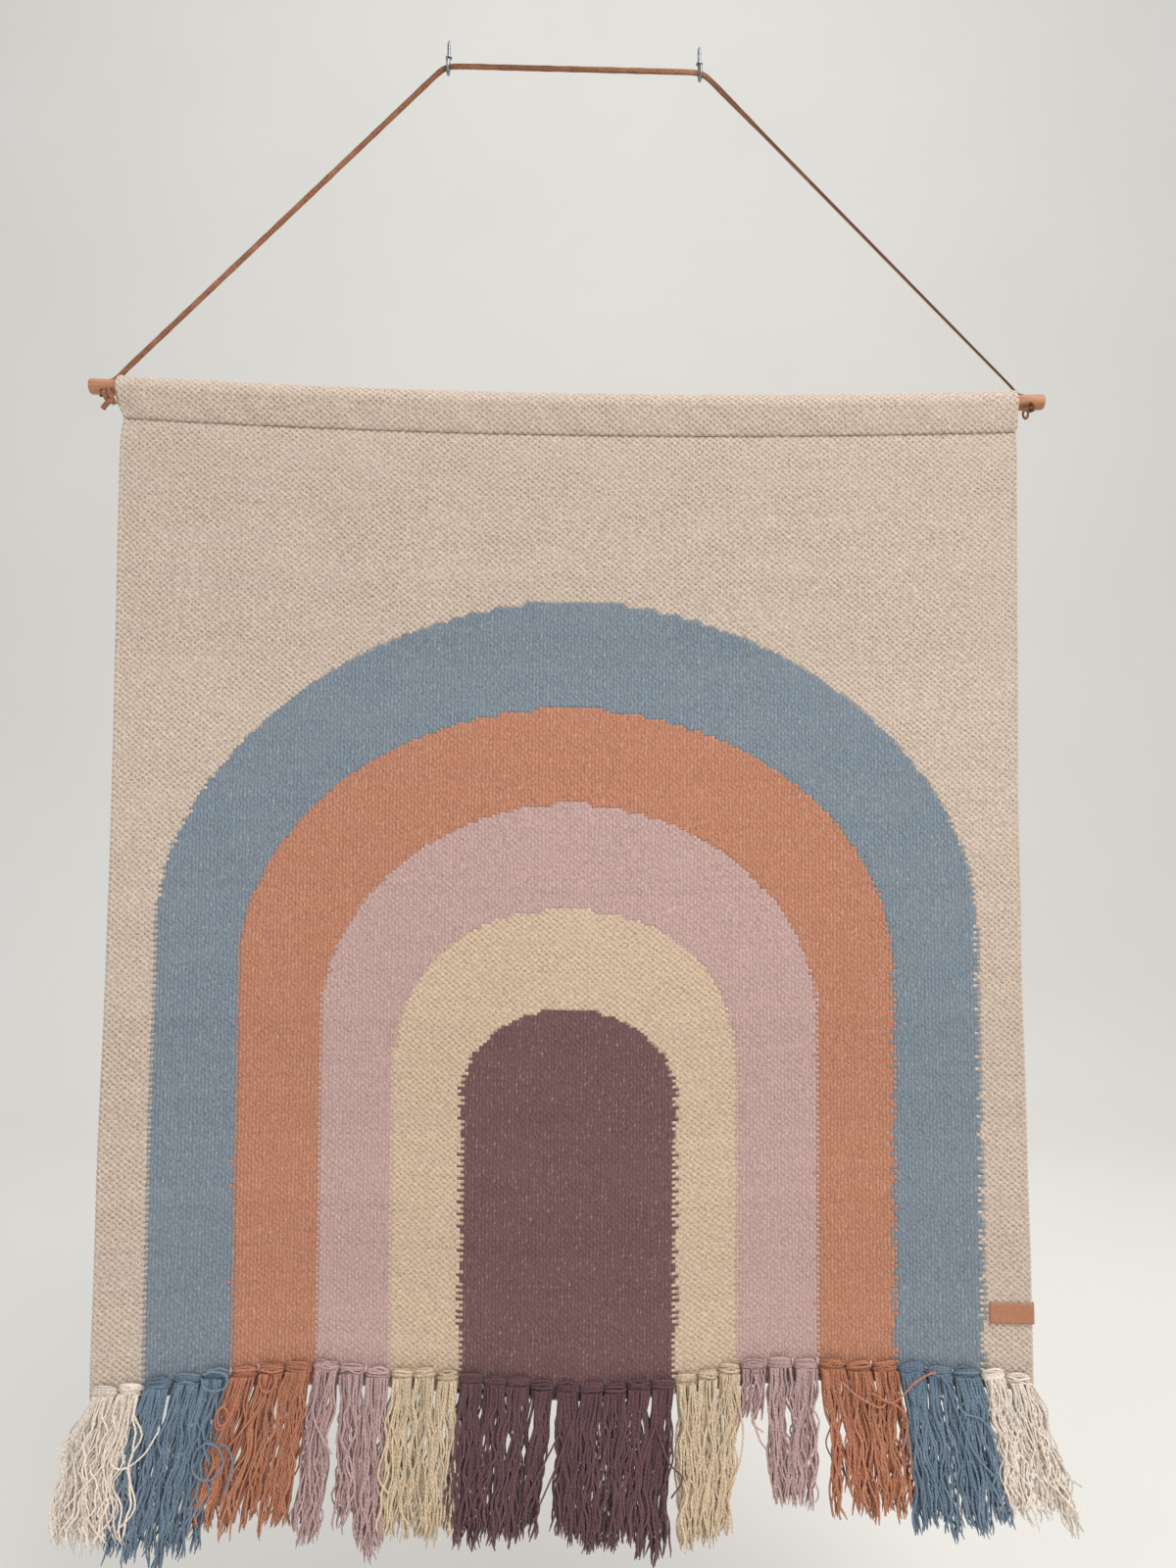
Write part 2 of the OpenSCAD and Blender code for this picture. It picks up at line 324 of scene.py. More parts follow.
def linear(code):
    values = [int(code[i : i + 2], 16) / 255 for i in (1, 3, 5)]
    return tuple(c / 12.92 if c <= 0.04045 else ((c + 0.055) / 1.055) ** 2.4 for c in values) + (1,)


class Nodes:
    """A material's node tree, built in a few words."""

    def __init__(self, name, **constants):
        self.mat = bpy.data.materials.new(name)
        self.mat.use_nodes = True
        self.tree = self.mat.node_tree
        self.shader = self.tree.nodes["Principled BSDF"]
        for key, value in constants.items():
            self.shader.inputs[key.replace("_", " ")].default_value = value

    def add(self, kind, inputs=None, **settings):
        n = self.tree.nodes.new("ShaderNode" + kind)
        for key, value in settings.items():
            setattr(n, key, value)
        for key, value in (inputs or {}).items():
            if isinstance(value, bpy.types.NodeSocket):
                self.tree.links.new(value, n.inputs[key])
            else:
                n.inputs[key].default_value = value
        return n

    def math(self, operation, a, b=0.0, c=0.0):
        return self.add("Math", {0: a, 1: b, 2: c}, operation=operation).outputs[0]

    def mix(self, factor, a, b):
        return self.add("Mix", {0: factor, 6: a, 7: b}, data_type="RGBA").outputs[2]

    def noise(self, scale, detail=2.0, stretch=(1, 1, 1), rough=0.5):
        where = self.add("TexCoord").outputs["Object"]
        where = self.add("Mapping", {"Vector": where, "Scale": stretch}).outputs[0]
        inputs = {"Vector": where, "Scale": scale, "Detail": detail, "Roughness": rough}
        return self.add("TexNoise", inputs).outputs["Fac"]

    def spread(self, value, low, high, to_low, to_high):
        inputs = {"Value": value, 1: low, 2: high, 3: to_low, 4: to_high}
        return self.add("MapRange", inputs).outputs[0]

    def finish(self, colour, height=None, strength=0.5, distance=0.3 * MM, rough=None):
        self.tree.links.new(colour, self.shader.inputs["Base Color"])
        if height is not None:
            inputs = {"Strength": strength, "Distance": distance, "Height": height}
            bump = self.add("Bump", inputs).outputs[0]
            self.tree.links.new(bump, self.shader.inputs["Normal"])
        if rough is not None:
            self.tree.links.new(rough, self.shader.inputs["Roughness"])
        return self.mat


WOOL = dict(Roughness=0.95, Sheen_Weight=0.18, Sheen_Roughness=0.6, Specular_IOR_Level=0.12)


BARE_WARP = "#e9dfd0"


def wool(name, base, deep, pale, speck=0.5, rib=0.0, form="woven"):
    """Wool yarn: painted shade in the gaps, with drifting dye. Woven wool shows slanting beads,
    ribs over its warps and a few bare warps, with painted shade between beads and ribs; plied wool
    shows its twist, with painted shade in its grooves."""
    m = Nodes(name, **WOOL)
    attribute = m.add("Attribute", {}, attribute_name="weave")
    parts = m.add("SeparateColor", {0: attribute.outputs["Color"]}).outputs
    relief_shade, bead, row = parts[0], parts[1], parts[2]
    fibre = m.noise(1500, 3, (1, 1, 1), 0.6)
    if form != "wrapped":
        uv = m.add("SeparateXYZ", {0: m.add("TexCoord").outputs["UV"]}).outputs
    if form == "plied":
        turn = m.math("ADD", m.math("MULTIPLY", uv[0], 2.0), uv[1])
        ply = m.math("SINE", m.math("MULTIPLY", turn, math.tau))
        relief_shade = m.spread(ply, -1, 0.6, 0.45, 1)
        height = m.math("ADD", m.math("MULTIPLY", fibre, 0.6), m.math("MULTIPLY", ply, 0.5))
    elif form == "woven":
        wander = m.math("MULTIPLY", m.math("SUBTRACT", m.noise(260, 2), 0.5), 1.3)
        wander_v = m.math("MULTIPLY", m.math("SUBTRACT", m.noise(330, 2, (1.3, 1, 0.8)), 0.5), 1.1)
        across = m.math("ADD", uv[0], wander)
        down = m.math("ADD", uv[1], wander_v)
        slant = m.math("COSINE", m.math("MULTIPLY", m.math("SUBTRACT", across, down), math.pi))
        other = m.math("COSINE", m.math("MULTIPLY", m.math("ADD", across, down), math.pi))
        beads = m.math("MULTIPLY", slant, 0.6 - 0.5 * rib)
        beads = m.math("SUBTRACT", beads, m.math("MULTIPLY", other, 0.4 - 0.3 * rib))
        ribs = m.math("COSINE", m.math("MULTIPLY", across, math.tau))
        beads = m.math("SUBTRACT", beads, m.math("MULTIPLY", ribs, rib))
        relief_shade = m.spread(beads, -0.9, 0.5, 0.22, 1)
        height = m.math("ADD", m.math("MULTIPLY", fibre, 0.9), m.math("MULTIPLY", beads, 0.35))
    else:
        height = fibre
    # painted shade: the deep colour fills the low parts of the relief, between beads, ribs, plies
    # and wraps
    colour = m.mix(m.spread(relief_shade, 0.0, 0.8, 0, 1), linear(deep), linear(base))
    drift = m.noise(16, 4, (1, 1, 2.5), 0.6)
    colour = m.mix(m.spread(drift, 0.4, 0.8, 0, 0.45), colour, linear(pale))
    apart = 0.3 if form == "plied" else 0.13
    level = m.math("ADD", m.spread(bead, 0, 1, -apart, apart), m.spread(row, 0, 1, -0.05, 0.05))
    level = m.math("ADD", level, m.spread(fibre, 0.3, 0.7, -0.12, 0.12))
    fleck = m.noise(620, 2, (1, 1, 0.8), 0.7)
    level = m.math("ADD", level, m.spread(fleck, 0.3, 0.7, -0.2, 0.2))
    inputs = {"Value": m.math("ADD", level, 1.0), "Color": colour}
    colour = m.add("HueSaturation", inputs).outputs[0]
    if form == "woven":
        dash = m.math("ABSOLUTE", m.math("SUBTRACT", m.math("FRACT", across), 0.5))
        dash = m.spread(dash, 0.1, 0.3, 1, 0)
        amount = m.math("MULTIPLY", m.math("MULTIPLY", attribute.outputs["Alpha"], dash), speck)
        colour = m.mix(amount, colour, linear(BARE_WARP))
    return m.finish(colour, height, 0.7, 0.45 * MM)


# Dye, its painted shade in the gaps and where it has faded, then the share of bare warps and ribs
FIELD_DYES = {
    "cream": ("#d6c3b1", "#8b7664", "#d8c4b6", 0.3, 0.0),
    "blue": ("#86929c", "#4e5964", "#8c9299", 0.5, 0.5),
    "terracotta": ("#c68a6e", "#86533e", "#bf8369", 0.55, 0.5),
    "pink": ("#cba9a2", "#8c7170", "#c9a89e", 0.45, 0.4),
    "yellow": ("#dbc1a6", "#947c63", "#d8bea8", 0.35, 0.1),
    "plum": ("#7c5a5a", "#3d2a2c", "#7b5d59", 0.4, 0.5),
}
# Yarn dye, its painted shade in the ply grooves, and where it has faded
YARN_DYES = {
    "cream": ("#f3e6d8", "#cfbca9", "#eddfcf"),
    "blue": ("#74889a", "#37444f", "#8695a3"),
    "terracotta": ("#bf7f60", "#76402b", "#c28668"),
    "pink": ("#c3a29f", "#7f6564", "#c8aaa4"),
    "yellow": ("#dcc6a8", "#927b5a", "#d8c1a4"),
    "plum": ("#6c4a4e", "#2d1b1f", "#75555a"),
}
FIELD_WOOL = {
    name: wool(name + "_wool", *dyes, speck=speck, rib=rib)
    for name, (*dyes, speck, rib) in FIELD_DYES.items()
}
YARN_WOOL = {name: wool(name + "_yarn", *dyes, form="plied") for name, dyes in YARN_DYES.items()}
wrapped_wool = wool("selvedge_wool", "#d6c3b1", "#8b7664", "#d8c4b6", form="wrapped")
cotton = wool("cotton_thread", "#e4dccd", "#a69a86", "#e9e1d2", form="plied")


def leather(name, base, deep, pale):
    m = Nodes(name, Roughness=0.55, Specular_IOR_Level=0.35)
    grain = m.noise(900, 4, (1, 1, 1), 0.65)
    patch = m.noise(60, 3)
    colour = m.mix(m.spread(grain, 0.35, 0.7, 0, 1), linear(deep), linear(base))
    colour = m.mix(m.spread(patch, 0.5, 0.8, 0, 0.6), colour, linear(pale))
    return m.finish(colour, grain, 0.35, 0.2 * MM, m.spread(patch, 0.3, 0.7, 0.45, 0.65))


lace_leather = leather("lace_leather", "#b17a56", "#6d3f28", "#c69272")
# darker leather for the thin edges of the lace and its knots: painted shade
edge_shade_leather = leather("lace_edge_shade", "#7b4f38", "#4d2f20", "#8a5b41")
label_leather = leather("label_leather", "#c58b6b", "#aa7152", "#cc9676")


def oak():
    m = Nodes("oak_rod", Specular_IOR_Level=0.4)
    grain = m.noise(420, 4, (0.05, 1, 1), 0.6)
    figure = m.noise(120, 2, (0.04, 1, 1))
    colour = m.mix(m.spread(grain, 0.35, 0.65, 0, 1), linear("#925d3f"), linear("#c38862"))
    colour = m.mix(m.spread(figure, 0.4, 0.7, 0, 0.6), colour, linear("#cc9570"))
    return m.finish(colour, grain, 0.25, 0.2 * MM, m.spread(grain, 0.3, 0.7, 0.55, 0.35))


def steel():
    m = Nodes("hook_steel", Metallic=1.0)
    cloud = m.noise(500, 3)
    drawn = m.noise(2500, 2, (1, 1, 0.1))
    colour = m.mix(m.spread(cloud, 0.35, 0.7, 0, 1), linear("#6f6f72"), linear("#b4b6ba"))
    return m.finish(colour, drawn, 0.1, 0.05 * MM, m.spread(cloud, 0.3, 0.7, 0.25, 0.5))


# ---- woven fields

COLS = 258
ROWS = 324
U = np.linspace(-HALF_W, HALF_W, COLS + 1)
V = np.linspace(SLEEVE_H, CLOTH_H - HALF_T, ROWS + 1)
CELL_U = U[1] - U[0]
CELL_V = V[1] - V[0]
BEAD_HIGH = 0.42 * MM
EDGE_BEAD = 0.6 * MM
BACK_WEAVE = 0.4 * MM
HOLLOW = {"cream": -0.36 * MM, "yellow": -0.3 * MM}
FACE_W = HALF_T - 0.45 * MM

# Half width, top and spring below the top of the cloth, power of the curve, and how far
# its middle lies from the cloth's middle at the top and at the legs
ARCHES = [
    ("blue", 313, 163, 412, 1.82, 3, 1),
    ("terracotta", 250, 246, 449, 1.93, 0, -1),
    ("pink", 189, 319, 484, 1.88, 1, 1),
    ("yellow", 131, 400, 532, 2.2, -1, -3),
    ("plum", 81, 474, 540, 1.87, 0, 0),
]


def field_masks():
    """Which cells of the lattice each colour fills. The outlines step by pairs of picks."""
    u = (U[:-1] + U[1:])[:, None] / 2
    rows = np.arange(ROWS)
    v = (V[2 * (rows // 2)] + CELL_V)[None, :]
    long = np.random.default_rng(21).uniform(0.35, 0.75, ROWS)
    tooth = (np.where(rows % 2, 1, -1) * long)[None, :] * CELL_U
    masks, outer = {}, np.ones((COLS, ROWS), bool)
    name = "cream"
    for colour, half, top, spring, power, mid_top, mid_leg in ARCHES:
        half, top, spring = half * MM, top * MM, spring * MM
        rise = np.clip((spring - v) / (spring - top), 0, 1)
        wide = half * (1 - rise**power) ** (1 / power)
        middle = np.interp(v, [top, spring], [mid_top * MM, mid_leg * MM])
        inside = (np.abs(u - middle) < wide + tooth) & (v > top)
        masks[name] = outer & ~inside
        outer, name = outer & inside, colour
    masks[name] = outer
    return masks


def lattice_look(rows, seed):
    """Random numbers of every bead and row: tone, dye drift along the rows, bare warps."""
    r = np.random.default_rng(seed)
    bead = r.uniform(0, 1, (COLS, rows))
    walk = np.cumsum(r.normal(0, 0.25, rows))
    row = 0.5 + 0.5 * np.sin(walk) * 0.7 + r.normal(0, 0.12, rows)
    bare = (r.uniform(0, 1, (COLS, rows)) > 0.8) * r.uniform(0.4, 1, (COLS, rows))
    return bead, np.clip(row, 0, 1), bare


def woven(name, mask, front, back, bead, row, bare, over, hollow=-0.36 * MM):
    """Closed woven piece. front and back are corner grids, over says which beads stand up,
    hollow is the height of the others."""
    cols, rows = mask.shape
    used = np.zeros((cols + 1, rows + 1), bool)
    for du in (0, 1):
        for dv in (0, 1):
            used[du : du + cols, dv : dv + rows] |= mask
    number = np.full(used.shape, -1)
    number[used] = np.arange(used.sum())
    count = int(used.sum())
    middle = np.full(mask.shape, -1)
    middle[mask] = 2 * count + np.arange(mask.sum())
    mid_front, mid_back = (sum(around(grid)) / 4 for grid in (front, back))
    out = unit(mid_front - mid_back)
    lift = np.where(over, BEAD_HIGH, hollow) * (0.3 + 1.2 * bead)
    padded = np.pad(mask, 1)
    turning = mask & ~(padded[:-2, 1:-1] & padded[2:, 1:-1])
    lift = np.where(turning, EDGE_BEAD, lift)
    # these cells also get the lightest tone: a painted highlight on the raised teeth at the outline
    bead = np.where(turning, 1.0, bead)
    crest = mid_front + out * lift[..., None]
    r = np.random.default_rng(mask.sum())
    corner = front[:-1, :-1]
    for step, share in ((front[1:, :-1] - corner, 0.2), (front[:-1, 1:] - corner, 0.24)):
        crest = crest + step * r.uniform(-share, share, mask.shape)[..., None]
    rank = np.add.outer(np.arange(cols + 1), np.arange(rows + 1)) % 2
    out_corner = unit(front - back)
    back = back - out_corner * np.where(rank, BACK_WEAVE, -BACK_WEAVE)[..., None]
    verts = np.concatenate([front[used], back[used], crest[mask]])

    tl, tr, bl, br = (corner[mask] for corner in around(number))
    c = middle[mask]
    tris = np.concatenate([
        np.stack([tl, bl, c], 1), np.stack([bl, br, c], 1),
        np.stack([br, tr, c], 1), np.stack([tr, tl, c], 1),
    ])
    b = count
    quads = np.stack([tl + b, tr + b, br + b, bl + b], 1)

    rims = []
    for shift, (p, q) in {
        (-1, 0): ((0, 0), (0, 1)), (1, 0): ((1, 1), (1, 0)),
        (0, -1): ((1, 0), (0, 0)), (0, 1): ((0, 1), (1, 1)),
    }.items():
        beside = padded[1 + shift[0] : 1 + shift[0] + cols, 1 + shift[1] : 1 + shift[1] + rows]
        edge = mask & ~beside
        i, j = np.nonzero(edge)
        a, d = number[i + p[0], j + p[1]], number[i + q[0], j + q[1]]
        rims.append(np.stack([a, a + b, d + b, d], 1))
    rims = np.concatenate(rims)

    tone_corner = np.full(used.shape, 0.5)
    row_corner = np.broadcast_to(np.concatenate([row, row[-1:]]), used.shape)
    front_look = np.stack([np.full(used.shape, 0.42), tone_corner, row_corner, 0 * tone_corner], -1)
    back_look = np.stack([np.where(rank, 0.9, 0.2), tone_corner, row_corner, 0 * tone_corner], -1)
    row_mid = np.broadcast_to(row, mask.shape)
    crest_look = np.stack([np.where(over, 1.0, 0.05), bead, row_mid, bare * ~over], -1)
    weave = np.concatenate([front_look[used], back_look[used], crest_look[mask]])
    at = np.stack(np.meshgrid(np.arange(cols + 1), np.arange(rows + 1), indexing="ij"), -1)
    places = np.concatenate([at[used], at[used], at[:-1, :-1][mask] + 0.5])
    uvs = np.concatenate([places[f.ravel()] for f in (tris, quads, rims)])
    return make_mesh(name, verts, [tris, quads], [rims], uvs=uvs, weave=weave)


grid_u, grid_v = np.meshgrid(U, V, indexing="ij")
jitter = rng.normal(0, 0.20 * MM, (2, *grid_u.shape))
jitter[:, [0, -1]] = 0
front_grid = cloth_point(grid_u + jitter[0], grid_v + jitter[1] * 0.8, FACE_W)
back_grid = cloth_point(grid_u, grid_v, -FACE_W)
bead, row, bare = lattice_look(ROWS, 3)
over = np.add.outer(np.arange(COLS), np.arange(ROWS)) % 2 == 0

masks = field_masks()
FIELD_NODES = {
    "cream": "cream_ground", "blue": "blue_arch", "terracotta": "terracotta_arch",
    "pink": "pink_arch", "yellow": "yellow_arch", "plum": "plum_doorway",
}
for colour, node in FIELD_NODES.items():
    me = woven(
        node + "_weave", masks[colour], front_grid, back_grid, bead, row, bare, over,
        HOLLOW.get(colour, -0.08 * MM),
    )
    piece(
        node + "_weave", me, FIELD_WOOL[colour], "cloth", [node]
    )

# ---- rod sleeve

SLEEVE_R = sleeve_hi[1] - HANG_Y


def sleeve_section():
    """Outer line of the sleeve's section from the front seam over the rod to the back one."""
    depth = ROD_Z - sleeve_lo[2]
    turn = math.radians(27)
    angles = np.linspace(-turn, math.pi + turn, 40)
    ring = np.stack([-np.cos(angles), np.sin(angles)], 1) * SLEEVE_R
    pinch = 2.0 * MM
    foot = [[-pinch, -depth], [-pinch - 1.6 * MM, -depth + 2.5 * MM]]
    line = np.concatenate([foot, ring, [[-p[0], p[1]] for p in foot[::-1]]])
    along = lengths(line)
    count = int(round(along[-1] / CELL_V))
    at = np.linspace(0, along[-1], count + 1)
    return np.stack([np.interp(at, along, line[:, k]) for k in range(2)], 1)


section = sleeve_section()
sleeve_rows = len(section) - 1
heading = unit(np.gradient(section, axis=0))
outward = np.stack([-heading[:, 1], heading[:, 0]], 1)
# the woven inner face is uneven by BACK_WEAVE, and stays clear of the rod all the same
inner = section - outward * (SLEEVE_R - ROD_R - BACK_WEAVE - 0.25 * MM)
# front and back stay on their own sides where the sleeve closes below the rod
front_y, back_y = np.minimum(inner[:, 0], -0.05 * MM), np.maximum(inner[:, 0], 0.05 * MM)
inner[:, 0] = np.where(section[:, 0] < 0, front_y, back_y)


def sleeve_grid(line, wobble):
    u = U[:, None]
    y, dz = line[None, :, 0], line[None, :, 1]
    v = TOP_Z - (ROD_Z + dz)
    slack = smooth((-dz - 2 * MM) / 0.012) * smooth((0.0237 + dz) / 0.006)
    waves = np.sin(math.tau * u / 0.047 + 1) + np.sin(math.tau * u / 0.031)
    y = y + np.sign(y) * wobble * slack * waves * 0.45 * MM
    grid = np.broadcast_arrays(drawn(u, v), HANG_Y + y, sagged(ROD_Z + dz, u, v))
    return np.stack(grid, -1)


bead_s, row_s, bare_s = lattice_look(sleeve_rows, 5)
over_s = np.add.outer(np.arange(COLS), np.arange(sleeve_rows)) % 2 == 0
# rows run upwards here, so the columns are counted from the right to keep the front outside
sleeve_front = sleeve_grid(section, 1.0)[::-1]
sleeve_back = sleeve_grid(inner, 0.0)[::-1]
me = woven(
    "rod_sleeve_weave", np.ones((COLS, sleeve_rows), bool), sleeve_front, sleeve_back,
    bead_s, row_s, bare_s, over_s,
)
sleeve = piece("rod_sleeve_weave", me, FIELD_WOOL["cream"], None, ["rod_sleeve"])
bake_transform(sleeve)

# ---- edges, seam, hem


def edge_cord(name, node, centre, radius, bump, material, twist_pitch, ends=None, sides=10):
    """A cord wrapped by turning yarn: the wraps stand up as a slow helix. ends are more yarns."""
    rings = len(centre)
    along = lengths(centre)
    n1, n2 = across_line(centre, (0.0, 1.0, 0.0))
    a = math.tau * np.arange(sides) / sides
    wrap = np.cos(math.tau * along[:, None] / twist_pitch - a[None, :])
    r = radius + bump * wrap
    verts = centre[:, None] + r[..., None] * (
        np.cos(a)[None, :, None] * n1[:, None] + np.sin(a)[None, :, None] * n2[:, None]
    )
    quads, caps = ring_faces(rings, sides)
    # the low parts between the wraps get painted shade from the material's deep colour
    relief_shade = 0.5 + 0.5 * wrap
    tone = np.repeat(rng.uniform(0.2, 0.8, rings)[:, None], sides, 1)
    weave = np.stack([relief_shade, tone, 0.5 + 0 * tone, 0 * tone], -1).reshape(-1, 4)
    verts, faces = verts.reshape(-1, 3), [quads, *caps]
    if ends:
        faces += [f + len(verts) for f in ends[1]]
        verts, weave = np.concatenate([verts, ends[0]]), np.concatenate([weave, ends[3]])
    me = make_mesh(name, verts, faces, weave=weave)
    return piece(name, me, material, "cloth", [node])


fine_v = np.linspace(SLEEVE_H + 1 * MM, CLOTH_H - 3 * MM, 1300)
for side, label in ((-1, "left"), (1, "right")):
    centre = cloth_point(np.full_like(fine_v, side * (HALF_W - 0.9 * MM)), fine_v, 0.0)
    edge_cord(
        "selvedge_" + label + "_wrap", "selvedge_" + label, centre, 1.55 * MM, 0.32 * MM,
        wrapped_wool, 2 * CELL_V,
    )


def warp_ends():
    """Cotton warps that show here and there between two knots."""
    tassels = [n for n in frame["nodes"] if n.startswith("tassel_")]
    tassels.sort(key=lambda n: corners(n)[0][0])
    r = np.random.default_rng(11)
    t = np.linspace(-1, 1, 5)
    paths = []
    for one, two in zip(tassels, tassels[1:]):
        if r.uniform() < 0.45:
            u = (corners(one)[1][0] + corners(two)[0][0]) / 2 + r.uniform(-0.6, 0.6) * MM
            v = KNOT_V - float(eased(u, KNOT_X, KNOT_RISE, 0.012)) + t * r.uniform(2.4, 3.6) * MM
            u = np.full(5, u) + t * r.normal(0, 0.3) * MM
            paths.append(cloth_point(u, v, HALF_T + 0.9 * MM))
    paths = np.array(paths)
    radii = np.broadcast_to(1.0 * MM * (1 - 0.5 * t**2), paths.shape[:2])
    return tube_set(paths, radii, 7, np.full(len(paths), 0.9))


fine_u = np.linspace(-HALF_W + 1 * MM, HALF_W - 1 * MM, 1300)
hem_line = cloth_point(fine_u, np.full_like(fine_u, CLOTH_H - HALF_T), 0.0)
edge_cord(
    "hem_cord_twist", "hem_cord", hem_line, 1.35 * MM, 0.3 * MM, wrapped_wool,
    5 * MM, warp_ends(),
)


def stitches():
    """Running stitches sunk into the crease under the sleeve."""
    count, long = 92, 4.6 * MM
    starts = np.linspace(-HALF_W + 8 * MM, HALF_W - 13 * MM, count)
    t = np.linspace(0, 1, 6)
    u = starts[:, None] + t * long + rng.normal(0, 0.2 * MM, (count, 1))
    arc = np.sin(math.pi * t)
    w = HALF_T - 0.9 * MM + 0.6 * MM * arc
    v = SLEEVE_H + 0.3 * MM + rng.normal(0, 0.25 * MM, (count, 1)) + 0 * u
    paths = cloth_point(u, v, w + 0 * u)
    radii = np.broadcast_to(0.38 * MM * (0.7 + 0.3 * arc), (count, 6))
    tones = rng.uniform(0, 1, count)
    verts, faces, uv, weave = tube_set(paths, radii, 6, tones, side_hint=(0, 0, 1))
    me = make_mesh("seam_stitches", verts, faces, uvs=uv, weave=weave)
    return piece("seam_stitches", me, cotton, "cloth", ["seam_thread"])


stitches()


def label_tab():
    """Blank leather tab folded round the right-hand edge."""
    thick = 1.0 * MM
    reach = HALF_W - label_lo[0] - 1 * MM
    low_v, high_v = TOP_Z - label_hi[2], TOP_Z - label_lo[2]
    flat = np.linspace(HALF_W - reach, HALF_W + 0.2 * MM, 26)
    turn = np.radians(np.linspace(90, -90, 13)[1:-1])
    gap = HALF_T + 0.7 * MM

    def profile(extra):
        r = gap + extra
        bend = [(HALF_W + 0.2 * MM + 0.55 * r * math.cos(a), r * math.sin(a)) for a in turn]
        return np.array([*[(x, r) for x in flat], *bend, *[(x, -r) for x in flat[::-1]]])

    rows = 13
    t = np.linspace(0, 1, rows)
    sheets = []
    for extra in (thick, 0.0):
        p = profile(extra)
        v = low_v + (high_v - low_v) * t
        u = np.broadcast_to(p[:, 0][:, None], (len(p), rows))
        w = p[:, 1][:, None] + (0.12 * MM if extra else 0) * (1 - (2 * t - 1) ** 6)[None]
        grid = cloth_point(np.minimum(u, HALF_W), np.broadcast_to(v, u.shape), w)
        grid[..., 0] += np.maximum(u - HALF_W, 0)
        sheets.append(grid)
    cols = sheets[0].shape[0] - 1
    number = np.arange((cols + 1) * rows).reshape(cols + 1, rows)
    tl, tr, bl, br = (corner.ravel() for corner in around(number))
    n = number.size
    outer = np.stack([tl, bl, br, tr], 1)
    innerf = np.stack([tl, tr, br, bl], 1) + n
    rims = []
    for line, flip in (
        (number[:, 0], False), (number[:, -1], True), (number[0], True), (number[-1], False),
    ):
        a, b = line[:-1], line[1:]
        quad = np.stack([a, b, b + n, a + n], 1)
        rims.append(quad[:, ::-1] if flip else quad)
    verts = np.concatenate([s.reshape(-1, 3) for s in sheets])
    me = make_mesh("leather_label_tab", verts, [outer, innerf], [np.concatenate(rims)])
    return piece(
        "leather_label_tab", me, label_leather, "cloth", ["leather_label"]
    )


label_tab()

# ---- rod, lace, knots


def rod():
    sides, rings, round_r = 40, 120, 1.6 * MM
    x = [-ROD_HALF, -ROD_HALF + 0.25 * MM, -ROD_HALF + 0.8 * MM, -ROD_HALF + round_r]
    r = [ROD_R - 1.5 * MM, ROD_R - 0.75 * MM, ROD_R - 0.2 * MM, ROD_R]
    body = np.linspace(-ROD_HALF + 2.5 * MM, ROD_HALF - 2.5 * MM, rings)
    x = np.array([*x, *body, *[-p for p in x[::-1]]])
    r = np.array([*r, *np.full(rings, ROD_R), *r[::-1]])
    a = math.tau * np.arange(sides) / sides
    lift = bow(x)
    verts = np.stack(np.broadcast_arrays(
        x[:, None], HANG_Y + r[:, None] * np.sin(a), ROD_Z + lift[:, None] + r[:, None] * np.cos(a)
    ), -1)
    # the rings turn the other way round here, so the faces are turned over
    quads, caps = ring_faces(len(x), sides)
    quads = np.roll(quads[:, ::-1], 1, axis=1)
    caps = [cap[:, ::-1] for cap in caps]
    me = make_mesh("oak_rod_turned", verts.reshape(-1, 3), [quads], caps)
    ob = piece("oak_rod_turned", me, oak(), "hanger", ["oak_rod"])
    tilt = math.radians(58)
    drills = []
    for side in (-1, 1):
        along = np.array([0, -math.cos(tilt), -math.sin(tilt)])
        middle = np.array([side * LACE_X, HANG_Y, ROD_Z])
        path = (middle + along * np.linspace(-15, 15, 3)[:, None] * MM)[None]
        radii = np.full((1, 3), 2.6 * MM)
        v, faces, _, _ = tube_set(path, radii, 24, np.zeros(1), side_hint=(1, 0, 0))
        drill = bpy.data.objects.new("drill", make_mesh("drill", v, faces))
        bpy.context.scene.collection.objects.link(drill)
        cut = ob.modifiers.new("hole", "BOOLEAN")
        cut.object, cut.operation, cut.solver = drill, "DIFFERENCE", "EXACT"
        drills.append(drill)
    graph = bpy.context.evaluated_depsgraph_get()
    cut_mesh = bpy.data.meshes.new_from_object(ob.evaluated_get(graph))
    ob.modifiers.clear()
    ob.data = cut_mesh
    for drill in drills:
        bpy.data.objects.remove(drill)
    return ob


oak_piece = rod()

# The lace's route from the middle of the top span to its right-hand end: x, y from the
# hanging plane, z, the same as the CAD lace's
HALF_ROUTE = np.array([
    [0, 0, -10], [45, 0, -10], [84, 0, -10], [94, 0, -10.3], [99, 0, -11], [104, 0, -13.6],
    [110, 0, -19], [122, 0.2, -31], [180, 1.4, -89], [240, 2.5, -149], [300, 3.6, -209],
    [336, 4.2, -245], [346, 4.5, -255], [350, 5.4, -259], [354, 6, -262], [357.4, 5, -264],
    [359, 3.4, -265.4], [359, 0, -270], [359, -4, -276.4], [359, -5.6, -279],
]) * MM


